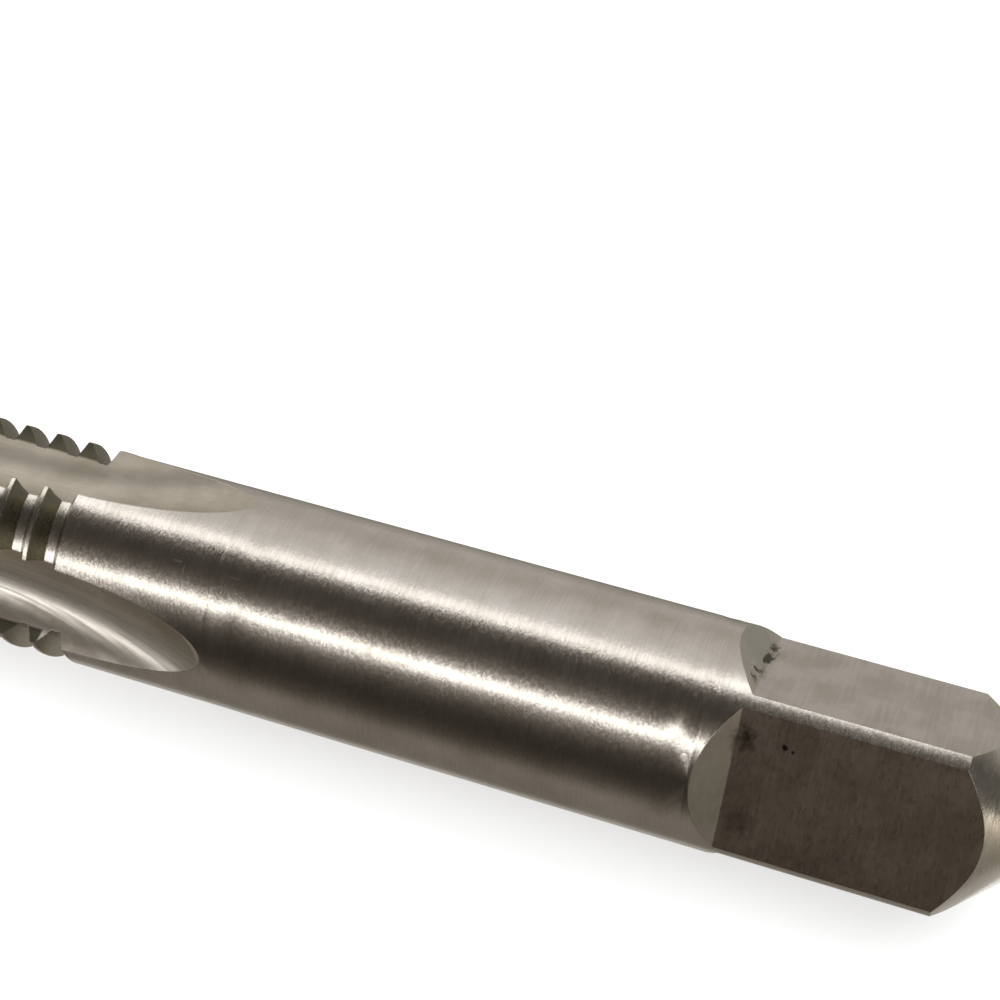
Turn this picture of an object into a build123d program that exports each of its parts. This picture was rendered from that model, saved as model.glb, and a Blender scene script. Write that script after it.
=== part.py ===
"""Hand tap for cutting a 3/8 in, 16 threads per inch, right-hand internal thread.

One piece of high-speed steel: turned, squared at the drive end, threaded and fluted.
It is shaped upright on its point, with its axis on Z, and then laid on its side along X.
Millimetres and degrees.
"""
from build123d import *
from math import radians, sqrt, tan
import os

# Overall
overall_length = 74.61
shank_diameter = 9.677
rest_roll = 27.33            # how far the first flat is tipped back where the tap has rolled to rest

# Cutting end, all heights from the tip of the point
thread_length = 33.34        # to where the ground thread diameter ends
thread_run_off = 0.6         # slight cone from the crests' diameter down to the shank's
thread_diameter = 9.74       # over the crests
thread_pitch = 1.5875
thread_angle = 60.0
crest_width = 0.2
root_width = 0.45
groove_to_shank = 0.9        # from the last root, in line with the first flat, to the shank
last_gap_land = 2            # the land that the last full groove crosses, counted from the first flat
lead_threads = 4             # threads tapered off, so that each tooth cuts a little deeper
lead_diameter = 7.6          # at the small end of the taper
point_half_angle = 45.0      # male centre on the cutting end
point_tip_diameter = 0.8

# Flutes
flute_count = 4
flute_turn = 12.7            # first flute from the first flat, about the axis
flute_radius = 2.2           # rounded edge of the fluting cutter
flute_run = 28.5             # from the tip to where the flute begins to rise
fluting_cutter_radius = 29.0
web_diameter = 4.68          # solid core that the flutes leave

# Drive square
square_width = 7.264         # across flats
first_pair_length = 11.11    # the two pairs of flats are milled one after the other
second_pair_length = 11.33
shoulder_angle = 42.5        # slope of each flat's shoulder to the axis
end_cone_length = 2.33       # male centre on the drive end
end_cone_half_angle = 43.2

# Worked out from the sizes above
shank_radius = shank_diameter / 2
thread_radius = thread_diameter / 2
flank_slope = tan(radians(thread_angle / 2))
groove_depth = (thread_pitch - crest_width - root_width) / 2 / flank_slope
root_radius = thread_radius - groove_depth
clear = shank_diameter       # how far a cutting shape reaches beyond the metal


def turned_blank():
    """Everything that is round about the axis, from the point up to the drive end."""
    point_length = (lead_diameter - point_tip_diameter) / 2 / tan(radians(point_half_angle))
    lead_length = lead_threads * thread_pitch
    end_face_radius = shank_radius - end_cone_length * tan(radians(end_cone_half_angle))
    cone_foot = (shank_radius, overall_length - end_cone_length)
    cone_top = (end_face_radius, overall_length)
    cone_middle = ((cone_foot[0] + cone_top[0]) / 2, (cone_foot[1] + cone_top[1]) / 2)
    outline = Polyline(
        cone_top,
        (0, overall_length),
        (0, 0),
        (point_tip_diameter / 2, 0),
        (lead_diameter / 2, point_length),
        (thread_radius, point_length + lead_length),
        (thread_radius, thread_length),
        (shank_radius, thread_length + thread_run_off),
        cone_foot,
    )
    end_cone = Bezier(cone_foot, cone_middle, cone_top)     # straight, and free in form for the flats
    return revolve(Plane.XZ * make_face([outline, end_cone]), Axis.Z)


def flat_cut(length):
    """What milling one flat takes off the +X side, down to its sloping shoulder."""
    flat = square_width / 2
    shoulder_foot = overall_length - length
    shoulder_rise = clear / tan(radians(shoulder_angle))
    section = Polyline(
        (flat, shoulder_foot),
        (flat, overall_length + clear),
        (flat + clear, overall_length + clear),
        (flat + clear, shoulder_foot - shoulder_rise),
        close=True,
    )
    return extrude(Plane.XZ * make_face(section), amount=clear, both=True)


def square_cuts():
    """The four flats of the drive square, as two opposite pairs."""
    first_pair = [Rot(Z=turn) * flat_cut(first_pair_length) for turn in (0, 180)]
    second_pair = [Rot(Z=turn) * flat_cut(second_pair_length) for turn in (90, 270)]
    return first_pair + second_pair


def tooth_gap():
    """The V groove across one land, centred on +X at height 0, with both ends out in the flutes."""
    sweep_turn = 0.8 * 360 / flute_count
    start_height = -thread_pitch * sweep_turn / 2 / 360
    helix = Helix(thread_pitch, -2 * start_height, root_radius, center=(0, 0, start_height))

    # The groove stands proud of the crests by less than would make its turns meet
    proud = crest_width / 4 / flank_slope
    mouth_radius = thread_radius + proud
    half_mouth = root_width / 2 + (groove_depth + proud) * flank_slope
    section = Polyline(
        (root_radius, start_height - root_width / 2),
        (mouth_radius, start_height - half_mouth),
        (mouth_radius, start_height + half_mouth),
        (root_radius, start_height + root_width / 2),
        close=True,
    )
    gap = sweep(Plane.XZ * make_face(section), path=helix, is_frenet=True)
    return Rot(Z=-sweep_turn / 2) * gap


def tooth_gaps():
    """Every gap between the teeth, all along one right-hand helix, down from the last one."""
    step_turn = 360 / flute_count
    step_height = thread_pitch / flute_count
    last_turn = flute_turn + last_gap_land * step_turn - step_turn / 2
    last_height = thread_length - groove_to_shank + thread_pitch * last_turn / 360
    count = int((last_height - thread_pitch) / step_height)
    gap = tooth_gap()
    return [Pos(0, 0, last_height - i * step_height) * Rot(Z=last_turn - i * step_turn) * gap
            for i in range(count)]


def flute_cut():
    """One flute on the +X side: straight from the point, then rising as the cutter leaves."""
    floor = web_diameter / 2
    rise = shank_radius - floor + flute_radius
    run = Line((floor, -flute_radius), (floor, flute_run))

    # The run-out follows the cutter's rim, as the parabola that starts with the rim's radius
    exit_length = sqrt(2 * fluting_cutter_radius * rise)
    run_out = Bezier(
        (floor, flute_run),
        (floor, flute_run + exit_length / 2),
        (floor + rise, flute_run + exit_length),
    )
    path = Plane.XZ * (run + run_out)

    arc_centre = floor + flute_radius
    section = Pos(arc_centre, 0) * Circle(flute_radius)
    section += Pos(arc_centre + clear / 2, 0) * Rectangle(clear, 2 * flute_radius)
    return sweep(Pos(0, 0, -flute_radius) * section, path=path)


def tap_body():
    """The finished tap, upright on its point, with the first flat facing +X."""
    tap = turned_blank()
    tap -= square_cuts()
    flute_step = 360 / flute_count
    tap -= [Rot(Z=flute_turn + i * flute_step) * flute_cut() for i in range(flute_count)]
    tap -= tooth_gaps()
    return tap


def laid_on_its_side(tap):
    """Middle of the length over the origin, drive end to +X, shank touching the ground."""
    centred = Pos(0, 0, -overall_length / 2) * tap
    return Pos(0, 0, shank_radius) * Rot(X=180 - rest_roll) * Rot(Y=90) * centred


os.makedirs("parts", exist_ok=True)
export_step(laid_on_its_side(tap_body()), "parts/tap_body.step")
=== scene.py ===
"""Hand tap, lying on a pale studio floor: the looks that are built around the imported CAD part."""
import bpy
import math
import numpy as np
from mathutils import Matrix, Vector


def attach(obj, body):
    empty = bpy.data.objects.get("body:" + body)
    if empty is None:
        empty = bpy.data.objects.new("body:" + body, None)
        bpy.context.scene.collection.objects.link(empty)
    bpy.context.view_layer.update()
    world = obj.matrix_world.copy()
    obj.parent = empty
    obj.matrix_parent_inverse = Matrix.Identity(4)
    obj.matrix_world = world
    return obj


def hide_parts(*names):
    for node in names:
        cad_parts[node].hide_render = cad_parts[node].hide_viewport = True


MM = 0.001

# ---------------------------------------------------------------- the tap's sizes, in mm and degrees
LENGTH = 74.61
SHANK_R = 4.8385
REST_ROLL = 27.33            # turn of the first flat back from straight up

THREAD_END = 33.34           # heights are from the tip of the point
RUN_OFF = 0.6
THREAD_R = 4.87
PITCH = 1.5875
HALF_ROOT = 0.225
HALF_CREST = 0.1
SLOPE = math.tan(math.radians(30))
ROOT_R = THREAD_R - (PITCH / 2 - HALF_ROOT - HALF_CREST) / SLOPE
LAST_ROOT = THREAD_END - 0.9    # height of the last root, carried round to the first flat's direction
LAST_ROOT_X = LAST_ROOT - LENGTH / 2
LAST_TURN = 192.7            # the helix ends in the flute at this turn

POINT_TIP_R = 0.4
LEAD_R = 3.8
LEAD_LENGTH = 4 * PITCH

FLUTE_TURN = 12.7
UPPER_FLUTE_LAG = -3.6       # the flute on top was cut a little off its quarter of the turn
CUTTER_R = 2.2               # rounded edge of the fluting cutter
FLOOR_R = 2.34
FLUTE_RUN = 28.5
EXIT_R = 29.0

HALF_SQUARE = 3.632
FLAT_FEET = (63.5, 63.28)    # heights where the two pairs of flats begin
SHOULDER = math.tan(math.radians(42.5))
END_CONE = math.tan(math.radians(43.2))
CONE_FOOT = LENGTH - 2.33
END_FACE_R = SHANK_R - (LENGTH - CONE_FOOT) * END_CONE
FLAT_END = CONE_FOOT + (SHANK_R - HALF_SQUARE) / END_CONE    # where the end cone cuts the flats off

# ---------------------------------------------------------------- the mesh's own rows and columns
FLUTE_STEPS = 12             # rows in half a flute or half a flat
LAND_STEPS = 12              # rows over a land
SECTOR_ROWS = 2 * FLUTE_STEPS + LAND_STEPS
ROWS = 4 * SECTOR_ROWS
THREADED_END = 34.6          # helical columns up to here, straight ones beyond
SEAM = LAST_TURN - 360
FLUTE_START = FLOOR_R - POINT_TIP_R                                  # where the flutes break out of the point
FLUTE_TIP = FLUTE_RUN + math.sqrt(2 * EXIT_R * (SHANK_R - FLOOR_R))  # and out of the shank
COLUMNS_PER_PITCH = 12
WIDEST_BARE = 22             # half a flute's rows spread over this angle, in degrees, where there is none
BARE_GROWTH = 25             # and get there by this many degrees a mm
FIRST_RIM, FIRST_HEIGHT = 1.4, 20.0    # where the search for a flute's rim starts, in radians and mm
SHARP_EDGE = 24              # degrees between faces from which an edge is drawn sharp

# heights in mm from the tip of the point, for the columns and the materials
SHOULDERS_FROM, SHOULDERS_TO = 61.8, 63.7
FLATS_FROM = 64.0
FLANKS_FROM = 3.6
CORNERS_FROM = 62.5


def blank_radius(a):
    """Radius of the turned blank at height a."""
    point = LEAD_R - POINT_TIP_R
    heights = [0, point, point + LEAD_LENGTH, THREAD_END, THREAD_END + RUN_OFF, CONE_FOOT, LENGTH]
    radii = [POINT_TIP_R, LEAD_R, THREAD_R, THREAD_R, SHANK_R, SHANK_R, END_FACE_R]
    return np.interp(a, heights, radii)


def between(test, low, high, steps=26):
    """Where test turns from one sign to the other between low and high, for whole arrays."""
    start = test(low) > 0
    for _ in range(steps):
        mid = (low + high) / 2
        same = (test(mid) > 0) == start
        low, high = np.where(same, mid, low), np.where(same, high, mid)
    return (low + high) / 2


def flute_point(arc, a):
    """Turn (radians, from the flute's middle) and radius of the wall at an angle along the cutter's rim."""
    depth = CUTTER_R * (1 - np.cos(arc))
    foot = a + 0 * depth
    for _ in range(5):
        rise = np.maximum(foot - FLUTE_RUN, 0) / EXIT_R
        foot = a + depth * rise / np.sqrt(1 + rise ** 2)
    rise = np.maximum(foot - FLUTE_RUN, 0) / EXIT_R
    x = FLOOR_R + EXIT_R * rise ** 2 / 2 + depth / np.sqrt(1 + rise ** 2)
    y = CUTTER_R * np.sin(arc)
    return np.arctan2(y, x), np.hypot(x, y)


def flute_rim(land, a):
    """Angle along the cutter's rim at which the wall meets a land of this radius, or 0 if it never does."""
    zero = 0 * land * a
    rim = between(lambda arc: flute_point(arc, a)[1] - land, zero, zero + math.pi / 2)
    return np.where(flute_point(zero, a)[1] < land, rim, 0)


def nearest(turn, step, start):
    """Signed angle from the nearest of the directions start, start + step, ..., in degrees."""
    return (turn - start + step / 2) % step - step / 2


def flat_distance(a, foot):
    """Distance of a flat, or of its sloping shoulder, from the axis."""
    return HALF_SQUARE + np.maximum(foot - a, 0) * SHOULDER


def flat_edge(a, foot):
    """Half the angle that a flat takes out of the blank, in radians."""
    return np.arccos(np.clip(flat_distance(a, foot) / blank_radius(a), 0, 1))


def groove_radius(turn, a):
    """Radius that the V grooves leave, without the blank's own limit."""
    pitches = (a - LAST_ROOT - PITCH * turn / 360) / PITCH
    groove = np.minimum(np.round(pitches), 0)
    off = np.abs(pitches - groove) * PITCH
    return ROOT_R + np.maximum(off - HALF_ROOT, 0) / SLOPE


def land_radius(turn, a):
    """Radius of the tap where no flute crosses it, at a turn (degrees, seam to seam) and height (mm)."""
    r = np.minimum(blank_radius(a), groove_radius(turn, a))
    for start, foot in zip((0, 90), FLAT_FEET):
        off = np.radians(nearest(turn, 180, start))
        reach = flat_distance(a, foot) / np.maximum(np.cos(off), 0.1)
        r = np.minimum(r, reach)
    return r


def bare_spread(gap):
    """Half-angle in radians that rows are spread over, gap mm away from the tip of the flute or flat."""
    return np.radians(np.clip(gap * BARE_GROWTH, 0, WIDEST_BARE))


def half_flute(rim, a, height, start, way):
    """Turn (degrees), height and radius of the rows from a flute's middle to its edge, or over bare blank."""
    share = np.linspace(0, 1, FLUTE_STEPS + 1)
    arc, a, start = rim[..., None] * share, a[..., None] + 0 * share, start[..., None]
    for _ in range(5):
        wall, r = flute_point(arc, a)
        bare = bare_spread(np.maximum(FLUTE_START - a, a - FLUTE_TIP)) * share
        turn = start + way * np.degrees(np.where(rim[..., None] > 0, wall, bare))
        a = height(turn, a)
    return turn, a, np.where(rim[..., None] > 0, r, land_radius(turn, a))


def sectors(height, count):
    """Turn, height and radius of the rows of all four sectors: half a flute, a land and half a flute."""
    flutes = SEAM + np.array([[0, 90, 180 + UPPER_FLUTE_LAG, 270, 360]])
    sides = []
    for start, way in ((flutes[:, :4], 1), (flutes[:, 1:], -1)):
        rim, a = np.full((count, 4), FIRST_RIM), np.full((count, 4), FIRST_HEIGHT)
        for _ in range(6):
            wall = flute_point(rim, a)[0]
            bare = bare_spread(np.maximum(FLUTE_START - a, a - FLUTE_TIP))
            turn = start + way * np.degrees(np.where(rim > 0, wall, bare))
            a = height(turn, a)
            rim = flute_rim(np.minimum(blank_radius(a), groove_radius(turn, a)), a)
        sides.append(half_flute(rim, a, height, start + 0 * a, way))
    (low, low_a, low_r), (high, high_a, high_r) = sides
    share = np.linspace(0, 1, LAND_STEPS + 1)[1:-1]
    land = low[..., -1:] + (high[..., -1:] - low[..., -1:]) * share
    land_a = low_a[..., -1:] + (high_a[..., -1:] - low_a[..., -1:]) * share
    for _ in range(4):
        land_a = height(land, land_a)
    return [np.concatenate(part, axis=-1).reshape(count, ROWS) for part in (
        (low, land, high[..., :0:-1]),
        (low_a, land_a, high_a[..., :0:-1]),
        (low_r, land_radius(land, land_a), high_r[..., :0:-1]))]


def column_offset(blank, pick):
    """Distance of each column from its root's middle. The crest's edge follows the blank's taper."""
    top = np.clip(HALF_ROOT + (blank - ROOT_R) * SLOPE, HALF_ROOT, PITCH / 2 - HALF_CREST)
    on_flank = HALF_ROOT + (top - HALF_ROOT) * np.interp(pick, (1, 2, 3, 4), (0, 0.5, 0.94, 1))
    on_crest = top + (PITCH / 2 - top) * (pick - 4) / 2
    return np.where(pick <= 1, HALF_ROOT * pick, np.where(pick <= 4, on_flank, on_crest))


def threaded_grid():
    """Turn, height and radius of the helical columns, which start and end on flat circles."""
    signed = np.array([-5, -4, -3, -2, -1, 0, 1, 2, 3, 4, 5, 6.0])
    pitches = np.arange(-int(THREADED_END / PITCH) - 2, 4)
    count = len(signed) * len(pitches)
    root = LAST_ROOT + PITCH * np.repeat(pitches, len(signed))
    pick = np.tile(signed, len(pitches))

    def height(turn, a):
        shape = (-1,) + (1,) * (turn.ndim - 1)
        side = np.sign(pick).reshape(shape)
        offset = side * column_offset(blank_radius(a), np.abs(pick).reshape(shape))
        return np.clip(root.reshape(shape) + PITCH * turn / 360 + offset, 0, THREADED_END)

    return sectors(height, count)


def plain_heights():
    """Heights of the straight columns from the thread to the drive end."""
    run_out = np.arange(THREADED_END, FLUTE_TIP - 0.3, 0.25)
    tip = FLUTE_TIP - np.array([0.22, 0.12, 0.05, 0.01, -0.01, -0.2])
    shank = np.arange(FLUTE_TIP + 0.5, SHOULDERS_FROM - 0.2, 0.8)
    shoulders = np.arange(SHOULDERS_FROM, SHOULDERS_TO, 0.06)
    flats = np.arange(FLATS_FROM, CONE_FOOT - 0.2, 0.8)
    cone = np.linspace(CONE_FOOT, LENGTH, 34)
    return np.unique(np.concatenate([run_out, tip, shank, shoulders, flats, cone, FLAT_FEET]).round(4))


def square_turns(heights):
    """Turns of the rows that follow the edges of the flats, for each height."""
    share = np.linspace(0, 1, FLUTE_STEPS + 1)
    halves = []
    for foot in FLAT_FEET:
        edge = flat_edge(heights, foot)
        shoulder_tip = foot - (SHANK_R - HALF_SQUARE) / SHOULDER
        gap = np.maximum(shoulder_tip - heights, heights - FLAT_END)
        halves.append(np.where(edge > 0, edge, bare_spread(gap))[:, None] * share)
    rows = []
    for k in range(4):
        first, second = np.degrees(halves[k % 2]), 90 - np.degrees(halves[(k + 1) % 2][:, :0:-1])
        low, high = first[:, -1:], second[:, :1]
        land = low + (high - low) * np.linspace(0, 1, LAND_STEPS + 1)[1:-1]
        rows += [-180 + 90 * k + part for part in (first, land, second)]
    return np.concatenate(rows, axis=1)


def plain_grid():
    """Turn, height and radius of the straight columns."""
    heights = plain_heights()

    def height(turn, a):
        return heights.reshape((-1,) + (1,) * (turn.ndim - 1)) + 0 * turn

    turn, a, r = sectors(height, len(heights))
    share = np.clip((heights - FLUTE_TIP - 1) / 20, 0, 1)[:, None]
    turn = turn * (1 - share) + square_turns(heights) * share
    return turn, a, np.where(a > FLUTE_TIP, land_radius(turn, a), r)


def tap_surface():
    """Corners (mm, lying down, middle of the length over the origin) and faces of the whole tap."""
    grids = [threaded_grid(), plain_grid()]
    corners, quads, base = [], [], 0
    for (turn, a, r), seam_shift in zip(grids, (COLUMNS_PER_PITCH, 0)):
        count = len(turn)
        around = np.radians(REST_ROLL - turn)
        places = [a - LENGTH / 2, r * np.sin(around), SHANK_R + r * np.cos(around)]
        corners.append(np.stack(places, -1).reshape(-1, 3))
        col, row = np.meshgrid(np.arange(count - 1), np.arange(ROWS), indexing="ij")
        over = (row + 1) // ROWS * seam_shift
        nxt = (row + 1) % ROWS
        fits = col + 1 + over < count
        quad = np.stack([col * ROWS + row, (col + over) * ROWS + nxt,
                         (col + 1 + over) * ROWS + nxt, (col + 1) * ROWS + row], -1)
        quads.append(quad[fits] + base)
        base += count * ROWS
    corners, quads = np.concatenate(corners), np.concatenate(quads)
    keys = np.round(corners / 1e-4).astype(np.int64)
    _, first, same = np.unique(keys, axis=0, return_index=True, return_inverse=True)
    same = same.reshape(-1)
    faces = []
    for quad in same[quads]:
        face = [v for i, v in enumerate(quad) if v != quad[i - 1]]
        if len(set(face)) == len(face) and len(face) > 2:
            faces.append(face)
    corners = corners[first]
    for end in (-LENGTH / 2, LENGTH / 2):
        ring = np.nonzero(np.abs(corners[:, 0] - end) < 1e-6)[0]
        turns = np.arctan2(corners[ring, 1], corners[ring, 2] - SHANK_R)
        ring = ring[np.argsort(turns)]
        corners = np.vstack([corners, [end, 0, SHANK_R]])
        for i, v in enumerate(ring):
            pair = [int(ring[i - 1]), int(v)] if end < 0 else [int(v), int(ring[i - 1])]
            faces.append([len(corners) - 1] + pair)
    return corners, faces


# ---------------------------------------------------------------- nodes
class Nodes:
    """Short ways to add and link shader nodes."""

    def __init__(self, tree):
        self.tree = tree

    def new(self, kind, **settings):
        node = self.tree.nodes.new("ShaderNode" + kind)
        for key, value in settings.items():
            setattr(node, key, value)
        return node

    def set(self, socket, value):
        if isinstance(value, bpy.types.NodeSocket):
            self.tree.links.new(value, socket)
        else:
            socket.default_value = value

    def math(self, operation, a, b=0.0, clamp=False):
        node = self.new("Math", operation=operation, use_clamp=clamp)
        self.set(node.inputs[0], a)
        self.set(node.inputs[1], b)
        return node.outputs[0]

    def place(self):
        """Object coordinates in mm."""
        coord = self.new("TexCoord")
        scale = self.new("VectorMath", operation="SCALE")
        self.set(scale.inputs[0], coord.outputs["Object"])
        scale.inputs["Scale"].default_value = 1 / MM
        return scale.outputs[0]

    def stretch(self, vector, factors):
        node = self.new("VectorMath", operation="MULTIPLY")
        self.set(node.inputs[0], vector)
        node.inputs[1].default_value = factors
        return node.outputs[0]

    def split(self, vector):
        """The node whose outputs X, Y and Z are those of a vector."""
        node = self.new("SeparateXYZ")
        self.set(node.inputs[0], vector)
        return node

    def noise(self, vector, scale=1.0, detail=2.0, roughness=0.5):
        node = self.new("TexNoise")
        self.set(node.inputs["Vector"], vector)
        node.inputs["Scale"].default_value = scale
        node.inputs["Detail"].default_value = detail
        node.inputs["Roughness"].default_value = roughness
        return node.outputs["Fac"]

    def ramp(self, value, stops):
        """A colour ramp from (position, colour or grey) stops."""
        node = self.new("ValToRGB")
        ramp = node.color_ramp
        while len(ramp.elements) > 1:
            ramp.elements.remove(ramp.elements[-1])
        for i, (position, colour) in enumerate(stops):
            element = ramp.elements[0] if i == 0 else ramp.elements.new(position)
            element.position = position
            element.color = (*colour, 1) if isinstance(colour, tuple) else (colour, colour, colour, 1)
        self.set(node.inputs[0], value)
        return node.outputs["Color"]

    def range(self, value, low, high, to_low, to_high):
        node = self.new("MapRange")
        self.set(node.inputs["Value"], value)
        for key, number in (("From Min", low), ("From Max", high), ("To Min", to_low), ("To Max", to_high)):
            node.inputs[key].default_value = number
        return node.outputs["Result"]

    def mix(self, factor, a, b):
        """Colour a, or b where the factor is 1."""
        node = self.new("Mix", data_type="RGBA")
        self.set(node.inputs["Factor"], factor)
        self.set(node.inputs[6], a if isinstance(a, bpy.types.NodeSocket) else (*a, 1))
        self.set(node.inputs[7], b if isinstance(b, bpy.types.NodeSocket) else (*b, 1))
        return node.outputs[2]

    def mix_shaders(self, factor, first, second):
        node = self.new("MixShader")
        self.set(node.inputs[0], factor)
        self.set(node.inputs[1], first.outputs[0])
        self.set(node.inputs[2], second.outputs[0])
        return node.outputs[0]

    def bump(self, height, distance, normal=None):
        node = self.new("Bump")
        self.set(node.inputs["Height"], height)
        node.inputs["Distance"].default_value = distance * MM
        if normal:
            self.set(node.inputs["Normal"], normal)
        return node.outputs["Normal"]


def blank_material(name):
    """A new node material without nodes, and the helper that fills it."""
    mat = bpy.data.materials.new(name)
    mat.use_nodes = True
    mat.node_tree.nodes.clear()
    return mat, Nodes(mat.node_tree)


def surface(n, output):
    """Makes a shader the material's surface."""
    n.set(n.new("OutputMaterial").inputs["Surface"], output)


def metal(name, build):
    """A material of one Principled shader, filled in by build(nodes helper, shader)."""
    mat, n = blank_material(name)
    shader = n.new("BsdfPrincipled")
    surface(n, shader.outputs[0])
    build(n, shader)
    return mat


# ---------------------------------------------------------------- the tap's materials
SMALL_SPOT = 0.2            # a stain, or a spot of painted highlight, narrower than this, in mm, has a crisper edge
DARKER = (0.88, 0.87, 0.83)  # the dark end of each steel's tone, by channel: a little warmer
LIGHTER = 1.09
# painted shade for the tooth faces in the flutes
RAKE_FACE_SHADE = (0.13, 0.125, 0.09)
BURR_COLOUR = (0.05, 0.045, 0.035)
BURR_X = 26.15


def spot(n, place, centre, radii, soft):
    """1 inside an ellipsoid (mm) with a ragged edge, 0 outside."""
    shift = n.new("VectorMath", operation="SUBTRACT")
    n.set(shift.inputs[0], place)
    shift.inputs[1].default_value = centre
    size = n.new("VectorMath", operation="LENGTH")
    n.set(size.inputs[0], n.stretch(shift.outputs[0], [1 / r for r in radii]))
    tear = n.range(n.noise(place, 3.2, detail=4), 0.3, 0.7, -0.35, 0.35)
    ragged = n.math("ADD", size.outputs["Value"], tear)
    return n.range(ragged, 1 - soft, 1, 1, 0)


def steel(colour, roughness, lines, bump, stains_and_painted_light=(), extra=None, contrast=1.0, edge=0.08):
    """Steel with fine lines and light blotches.

    lines: how finely the line pattern repeats along each axis, per mm. bump: height of the grain in mm.
    stains_and_painted_light: (centre, radii, colour, strength) of stains and of spots of painted highlight.
    edge: radius in mm that softens the edges in the shading.
    """
    def build(n, shader):
        place = n.place()
        fine = n.noise(n.stretch(place, lines), detail=3)
        grain = n.noise(n.stretch(place, (9, 3.2, 3.2)), detail=3, roughness=0.6)
        blotch = n.noise(place, 0.55, detail=3)
        tone = n.math("ADD", n.math("MULTIPLY", fine, 0.35), n.math("MULTIPLY", blotch, 0.65))
        light = tuple(c * LIGHTER for c in colour)
        dark = tuple(c * share for c, share in zip(colour, DARKER))
        base = n.ramp(tone, [(0.5 - 0.14 / contrast, dark), (0.5 + 0.14 / contrast, light)])
        rough = n.range(grain, 0.3, 0.7, roughness - 0.04, roughness + 0.04)
        for centre, radii, spot_colour, strength in stains_and_painted_light:
            soft = 0.4 if min(radii) < SMALL_SPOT else 0.8
            inside = n.math("MULTIPLY", spot(n, place, centre, radii, soft), strength)
            base = n.mix(inside, base, spot_colour)
        if extra:
            base, rough = extra(n, place, base, rough)
        n.set(shader.inputs["Base Color"], base)
        n.set(shader.inputs["Roughness"], rough)
        shape = None
        if edge:
            rounded = n.new("Bevel", samples=4)
            rounded.inputs["Radius"].default_value = edge * MM
            shape = rounded.outputs["Normal"]
        if bump:
            shape = n.bump(grain, bump, normal=shape)
        n.set(shader.inputs["Normal"], n.bump(fine, 0.0006, normal=shape))
        shader.inputs["Metallic"].default_value = 1.0
    return build


def flute_sheen(n, place, base, rough):
    """Lines in the flutes, brighter low down by painted sheen, a painted highlight on the front flute's
    run-out patch, painted shade on its upper wall, and painted shade on the tooth faces.
    """
    at = n.split(place).outputs
    up = n.math("SUBTRACT", at["Z"], SHANK_R)

    # lines that run along the flute and rise with it, made brighter low down by painted sheen
    strand = n.new("CombineXYZ")
    n.set(strand.inputs["X"], n.math("MULTIPLY", at["X"], 0.12))
    n.set(strand.inputs["Y"], n.math("MULTIPLY", n.math("ARCTAN2", at["Y"], up), 19))
    lines = n.noise(strand.outputs[0], 1, detail=4)
    low = n.range(at["Z"], 6.2, 4.6, 0, 1)
    lines_with_painted_sheen = n.math("MULTIPLY", low, n.range(lines, 0.38, 0.56, 0.15, 1.0))

    # the patch where the cutter left the front flute, which starts along a slanting line; painted paler as a
    # highlight on that facet
    patch_start = n.math("ADD", n.math("MULTIPLY", at["Z"], -0.75), 7.45)
    patch = n.range(n.math("SUBTRACT", at["X"], patch_start), 0.0, 0.12, 0, 0.38)
    front = n.range(at["Y"], -3.6, -3.4, 1, 0)
    painted_sheen = n.math("MAXIMUM", lines_with_painted_sheen, n.math("MULTIPLY", patch, front))

    # painted shade: the upper part of the front flute's wall is darkened
    painted_shade_upper_wall = n.math("MULTIPLY", n.range(at["Y"], -2.9, -3.4, 0, 0.5), n.range(at["Z"], 5.4, 6.6, 0, 1))
    # painted sheen and highlight turn the colour near-white; painted shade turns the upper wall dark olive
    base = n.mix(painted_sheen, n.mix(painted_shade_upper_wall, base, (0.3, 0.28, 0.2)), (0.98, 0.92, 0.83))

    # painted shade: the tooth faces in the flutes, above the thread's root, are painted near-black
    square = n.math("ADD", n.math("MULTIPLY", at["Y"], at["Y"]), n.math("MULTIPLY", up, up))
    above_root = n.range(n.math("SQRT", square), THREAD_R - 0.8, THREAD_R - 0.7, 0, 1)
    painted_shade_teeth = n.math("MULTIPLY", above_root, n.range(at["X"], LAST_ROOT_X - 0.1, LAST_ROOT_X, 1, 0))
    base = n.mix(painted_shade_teeth, base, RAKE_FACE_SHADE)
    return base, n.math("SUBTRACT", rough, n.math("MULTIPLY", lines_with_painted_sheen, 0.2))


def burr(n, place, base, rough):
    """The torn dark burr that the milling cutter left along the foot of the upper shoulder."""
    at = n.split(place).outputs
    across = n.noise(n.stretch(place, (0.3, 0.95, 0.95)), detail=1)
    centre = n.range(across, 0.3, 0.7, BURR_X - 0.4, BURR_X + 0.4)
    away = n.math("ABSOLUTE", n.math("SUBTRACT", at["X"], centre))
    frayed = n.math("ADD", away, n.range(n.noise(place, 2.2, detail=3), 0.35, 0.65, -0.1, 0.1))
    line = n.range(frayed, 0.1, 0.2, 1, 0)
    torn = n.range(n.noise(place, 1.6, detail=3), 0.42, 0.5, 0, 1)
    length = n.math("MULTIPLY", n.range(at["Y"], -0.5, 0.0, 0, 1), n.range(at["Y"], 3.3, 3.9, 1, 0))
    above = n.range(at["Z"], 6.4, 6.9, 0, 1)
    mask = n.math("MULTIPLY", n.math("MULTIPLY", line, torn), n.math("MULTIPLY", length, above))
    base = n.mix(n.math("MULTIPLY", mask, 0.85), base, BURR_COLOUR)
    return base, n.math("ADD", rough, n.math("MULTIPLY", mask, 0.3))
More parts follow.
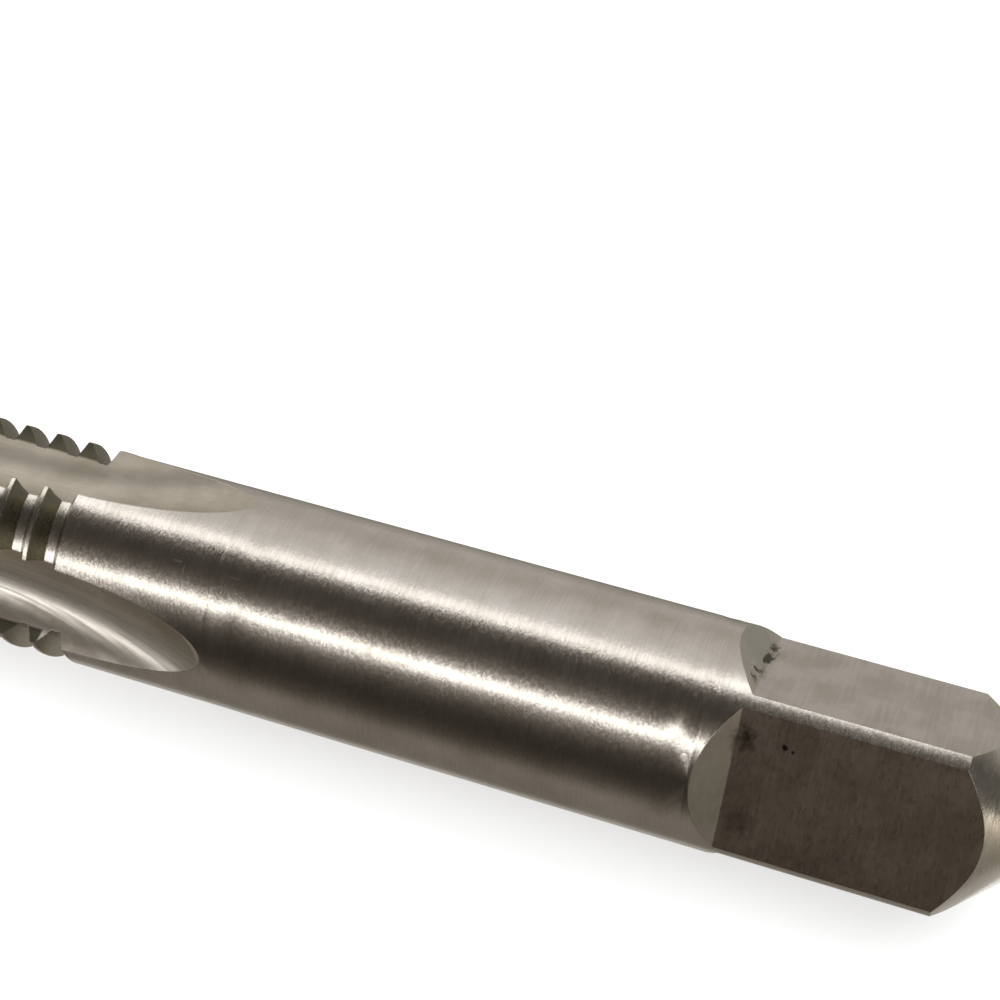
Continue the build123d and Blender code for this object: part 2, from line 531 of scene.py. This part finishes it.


# stains, and spots of painted highlight, are places and radii in mm, measured from the middle of the tap on
# the floor
BURR_STAINS = [((26.35, 2.7, 7.6), (0.5, 0.7, 0.7), (0.2, 0.19, 0.14), 0.55),
               ((26.1, 0.7, 8.5), (0.35, 0.8, 0.5), (0.2, 0.19, 0.14), 0.55)]
ACROSS, ALONG, RINGS = (13, 0.6, 0.6), (0.5, 8, 8), (16, 0.5, 0.5)
SCRATCH = (0.95, 0.92, 0.86)
MATERIALS = [
    ("steel_ground", steel((0.53, 0.49, 0.445), 0.2, ACROSS, 0.010, [
        ((1.45, -2.25, 9.12), (0.28, 0.06, 0.3), SCRATCH, 0.5),
        ((1.8, -2.5, 8.98), (0.05, 0.35, 0.3), SCRATCH, 0.4),
        ((4.1, -2.3, 9.1), (0.5, 0.05, 0.3), SCRATCH, 0.22)])),
    # painted shade: the thread's flanks get a darker colour that stands in for the shade in the grooves
    ("steel_flanks_painted_shade", steel((0.29, 0.275, 0.215), 0.28, ACROSS, 0.004)),
    ("steel_flutes_painted_light", steel((0.575, 0.52, 0.445), 0.54, ALONG, 0.003, extra=flute_sheen)),
    ("steel_front_flat", steel((0.52, 0.425, 0.36), 0.3, (7, 0.4, 0.4), 0, [
        ((27.94, -2.31, 8.28), (0.16, 0.14, 0.14), (0.02, 0.015, 0.012), 0.9),
        ((28.28, -2.36, 8.18), (0.11, 0.12, 0.12), (0.02, 0.015, 0.012), 0.9),
        ((26.35, -2.35, 8.2), (0.45, 0.6, 0.8), (0.07, 0.055, 0.035), 0.85),
        # these three darken the flat near its lower edge and lighten a patch in its middle
        ((26.8, -4.05, 4.9), (0.8, 0.8, 0.9), (0.2, 0.16, 0.11), 0.6),
        ((31.5, -4.6, 3.3), (7, 1.2, 1.6), (0.36, 0.28, 0.22), 0.6),
        ((29.2, -3.6, 6.0), (2.2, 1.0, 1.2), (0.6, 0.47, 0.38), 0.4)], contrast=2.2, edge=0)),
    ("steel_flats", steel((0.49, 0.45, 0.408), 0.32, (7, 0.4, 0.4), 0, BURR_STAINS, burr,
                          contrast=1.5, edge=0)),
    ("steel_shoulders", steel((0.49, 0.465, 0.40), 0.38, (5, 2, 2), 0.006, [
        # this spot darkens most of the upper shoulder
        ((24.9, 2.2, 8.3), (2, 3.4, 2.4), (0.4, 0.395, 0.35), 1),
        ((26.1, -2.5, 8.0), (0.35, 0.7, 0.9), (0.1, 0.085, 0.05), 0.85)] + BURR_STAINS, burr)),
    ("steel_end", steel((0.51, 0.475, 0.42), 0.22, RINGS, 0.004)),
    ("steel_corners_painted_highlight", steel((0.53, 0.49, 0.445), 0.2, ACROSS, 0.006, [
        # painted highlight: a paler colour along the corner between the top and front flats
        ((31, -1.47, 9.45), (9, 1.6, 1.6), (0.65, 0.605, 0.55), 1)], edge=0)),
]
GROUND, FLANKS, FLUTES, FRONT_FLAT, FLATS, SHOULDERS, END, CORNERS = range(8)


def face_zones(mesh):
    """The material of each face, from where it lies and the way it faces."""
    centres, normals = np.empty(len(mesh.polygons) * 3), np.empty(len(mesh.polygons) * 3)
    mesh.polygons.foreach_get("center", centres)
    mesh.polygons.foreach_get("normal", normals)
    centres, normals = centres.reshape(-1, 3) / MM, normals.reshape(-1, 3)
    a, y, z = centres[:, 0] + LENGTH / 2, centres[:, 1], centres[:, 2] - SHANK_R
    r, turn = np.hypot(y, z), REST_ROLL - np.degrees(np.arctan2(y, z))
    zone = np.full(len(a), GROUND)
    land = land_radius(turn, a)
    rim = flute_point(flute_rim(land, a), a)[0]
    flutes = [np.abs(nearest(turn, 360, FLUTE_TURN + way)) for way in (UPPER_FLUTE_LAG, 90, 180, 270)]
    off = np.min(flutes, axis=0)
    flute = (a > FLUTE_START) & (a < FLUTE_TIP) & ((np.radians(off) < rim) | (r < land - 0.05))
    zone[(a > FLANKS_FROM) & (a < THREAD_END + RUN_OFF) & (np.abs(normals[:, 0]) > 0.5)] = FLANKS
    zone[flute] = FLUTES
    zone[(a > CORNERS_FROM) & (normals[:, 0] < 0.5)] = CORNERS
    zone[(a > 61) & (normals[:, 0] > 0.5)] = SHOULDERS
    zone[(a > CONE_FOOT) & (normals[:, 0] > 0.5)] = END
    for k in range(4):
        facing = math.radians(REST_ROLL - 90 * k)
        faces_out = normals @ [0, math.sin(facing), math.cos(facing)] > 0.99
        distance = r * np.cos(np.radians(nearest(turn, 360, 90 * k)))
        flat = (a > 63) & faces_out & (distance < HALF_SQUARE + 0.01)
        zone[flat] = FRONT_FLAT if k == 1 else FLATS
    return zone


# ---------------------------------------------------------------- the tap
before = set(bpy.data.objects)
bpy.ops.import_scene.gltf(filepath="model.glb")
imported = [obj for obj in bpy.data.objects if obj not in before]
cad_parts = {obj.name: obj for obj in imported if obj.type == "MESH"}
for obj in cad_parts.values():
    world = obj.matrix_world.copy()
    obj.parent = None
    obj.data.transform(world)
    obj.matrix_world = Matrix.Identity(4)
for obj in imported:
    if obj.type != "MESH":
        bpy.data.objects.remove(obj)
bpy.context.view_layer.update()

corners, faces = tap_surface()
mesh = bpy.data.meshes.new("tap")
mesh.from_pydata((corners * MM).tolist(), [], faces)
mesh.validate()
mesh.polygons.foreach_set("use_smooth", [True] * len(mesh.polygons))
mesh.set_sharp_from_angle(angle=math.radians(SHARP_EDGE))
tap = bpy.data.objects.new("tap", mesh)
bpy.context.scene.collection.objects.link(tap)
for name, build in MATERIALS:
    mesh.materials.append(metal(name, build))
mesh.polygons.foreach_set("material_index", face_zones(mesh).astype(np.int32))
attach(tap, "root")
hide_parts("tap_body")

# ---------------------------------------------------------------- floor, light and camera, in metres
HALF_WIDTH = 2.0
FLOOR_GLOW = 0.6
FLAG_DEPTH = 1.9
FLAG_HEIGHT = 0.0001


def sheet(name, y_near, y_far, height, mat):
    """A level sheet of the studio, from y_near to y_far."""
    data = bpy.data.meshes.new(name)
    places = [(-HALF_WIDTH, y_near), (HALF_WIDTH, y_near), (HALF_WIDTH, y_far), (-HALF_WIDTH, y_far)]
    data.from_pydata([(x, y, height) for x, y in places], [], [(0, 1, 2, 3)])
    made = bpy.data.objects.new(name, data)
    bpy.context.scene.collection.objects.link(made)
    data.materials.append(mat)
    return made


def floor_material():
    """White paper. Seen directly or in a reflection it partly glows, so its shadows are light."""
    mat, n = blank_material("floor_paper")
    paper = n.new("BsdfDiffuse")
    paper.inputs["Color"].default_value = (0.88, 0.88, 0.88, 1)
    glow = n.new("Emission")
    glow.inputs["Color"].default_value = (1, 1, 1, 1)
    path = n.new("LightPath")
    seen = n.math("ADD", path.outputs["Is Camera Ray"], path.outputs["Is Glossy Ray"])
    seen = n.math("ADD", seen, path.outputs["Is Transmission Ray"], clamp=True)
    surface(n, n.mix_shaders(n.math("MULTIPLY", seen, FLOOR_GLOW), paper, glow))
    return mat


sheet("floor", -HALF_WIDTH, HALF_WIDTH, 0.0, floor_material())


def tint(brightness):
    """Studio light: warm where it is dim, white where it is bright."""
    warm = max(0.0, 1 - brightness / 0.9)
    return (brightness * (1 + 0.12 * warm), brightness, brightness * (1 - 0.16 * warm))


def flag(name, side, stops, along):
    """A studio flag that lies on the floor and is only seen in reflections.

    side: -1 before the tap, 1 behind it. stops: (mm from the tap's axis, brightness).
    along: (mm past the tap's middle, times as bright).
    """
    mat, n = blank_material(name)
    at = n.split(n.place()).outputs
    away = n.math("MULTIPLY", at["Y"], side)
    farthest, end, most = stops[-1][0], along[-1][0], max(b for _, b in along)
    across_stops = [(d / farthest, tint(b)) for d, b in stops]
    along_stops = [(x / end, b / most) for x, b in along]
    times = n.ramp(n.math("DIVIDE", at["X"], end), along_stops)
    glow = n.new("Emission")
    n.set(glow.inputs["Color"], n.ramp(n.math("DIVIDE", away, farthest), across_stops))
    n.set(glow.inputs["Strength"], n.math("MULTIPLY", times, most))
    surface(n, glow.outputs[0])
    near, far = side * stops[0][0] * MM, side * FLAG_DEPTH
    made = sheet(name, min(near, far), max(near, far), FLAG_HEIGHT, mat)
    for ray in ("camera", "diffuse", "transmission", "volume_scatter", "shadow"):
        setattr(made, "visible_" + ray, False)


FRONT_STOPS = [(2, 0.55), (3.9, 0.45), (4.5, 0.22), (8.5, 0.26), (10.3, 0.23), (12.5, 0.14), (16, 0.08),
               (23, 0.055), (40, 0.04)]
BACK_STOPS = [(2, 0.25), (17, 0.27), (25, 0.44), (40, 0.46), (60, 0.6)]
PAST_THE_END = [(0, 1), (36, 1), (41, 1.15), (50, 1.5), (57, 1.8), (80, 4), (120, 12), (200, 16)]
ALL_ALONG = [(0, 1), (200, 1)]
flag("flag_front", -1, FRONT_STOPS, PAST_THE_END)
flag("flag_back", 1, BACK_STOPS, ALL_ALONG)

# brightness of the studio by the angle round the tap's axis, in degrees from straight up towards the camera
STUDIO = [(-180, 0.5), (-90, 0.6), (-72, 0.6), (-50, 0.78), (-32, 0.9), (-24, 1.1), (-19, 2.2), (-10.5, 2.2),
          (-7, 0.12), (8, 0.05), (24, 0.06), (36, 0.14), (43, 0.35), (46.5, 0.6), (47, 3.2), (57, 3.2),
          (57.5, 0.7), (64, 0.3), (72, 0.12), (80, 0.06), (90, 0.045), (180, 0.045)]
BRIGHTEST = 3.2
END_WALLS = 0.16             # share of the light that is left beyond both ends of the tap
END_WALLS_FROM_TO = (0.72, 0.92)    # the light falls off as a direction turns this far along the tap
world = bpy.data.worlds.new("studio")
bpy.context.scene.world = world
world.use_nodes = True
n = Nodes(world.node_tree)
ray = n.split(n.new("TexCoord").outputs["Generated"]).outputs
angle = n.math("ARCTAN2", n.math("MULTIPLY", ray["Y"], -1.0), ray["Z"])
share = n.range(angle, -math.pi, math.pi, 0, 1)
light = n.ramp(share, [((a + 180) / 360, tuple(c / BRIGHTEST for c in tint(b))) for a, b in STUDIO])
back = world.node_tree.nodes["Background"]
n.set(back.inputs["Color"], light)
lengthwise = n.math("ABSOLUTE", ray["X"])
n.set(back.inputs["Strength"], n.range(lengthwise, *END_WALLS_FROM_TO, BRIGHTEST, BRIGHTEST * END_WALLS))

# the camera itself sees plain white past the floor's edge
white = n.new("Background")
white.inputs["Color"].default_value = (1, 1, 1, 1)
seen_world = n.mix_shaders(n.new("LightPath").outputs["Is Camera Ray"], back, white)
n.set(world.node_tree.nodes["World Output"].inputs["Surface"], seen_world)

fill_data = bpy.data.lights.new("fill", "AREA")
fill_data.size = 2.5
fill_data.energy = 50
fill = bpy.data.objects.new("fill", fill_data)
fill.location = (0.2, 0.0, 1.2)
fill.rotation_euler = (Vector((0, 0, 0)) - Vector(fill.location)).to_track_quat("-Z", "Y").to_euler()
fill.visible_glossy = False
bpy.context.scene.collection.objects.link(fill)

camera_data = bpy.data.cameras.new("camera")
camera_data.lens = 76.13
camera_data.sensor_width = 36
camera_data.clip_start = 0.001
camera_data.clip_end = 20
camera = bpy.data.objects.new("camera", camera_data)
camera.location = (0.034373, -0.052976, 0.076202)
camera.rotation_euler = Vector((-0.2329, 0.6402, -0.7320)).to_track_quat("-Z", "Y").to_euler()
bpy.context.scene.collection.objects.link(camera)
bpy.context.scene.camera = camera
bpy.context.scene.view_settings.view_transform = "Standard"
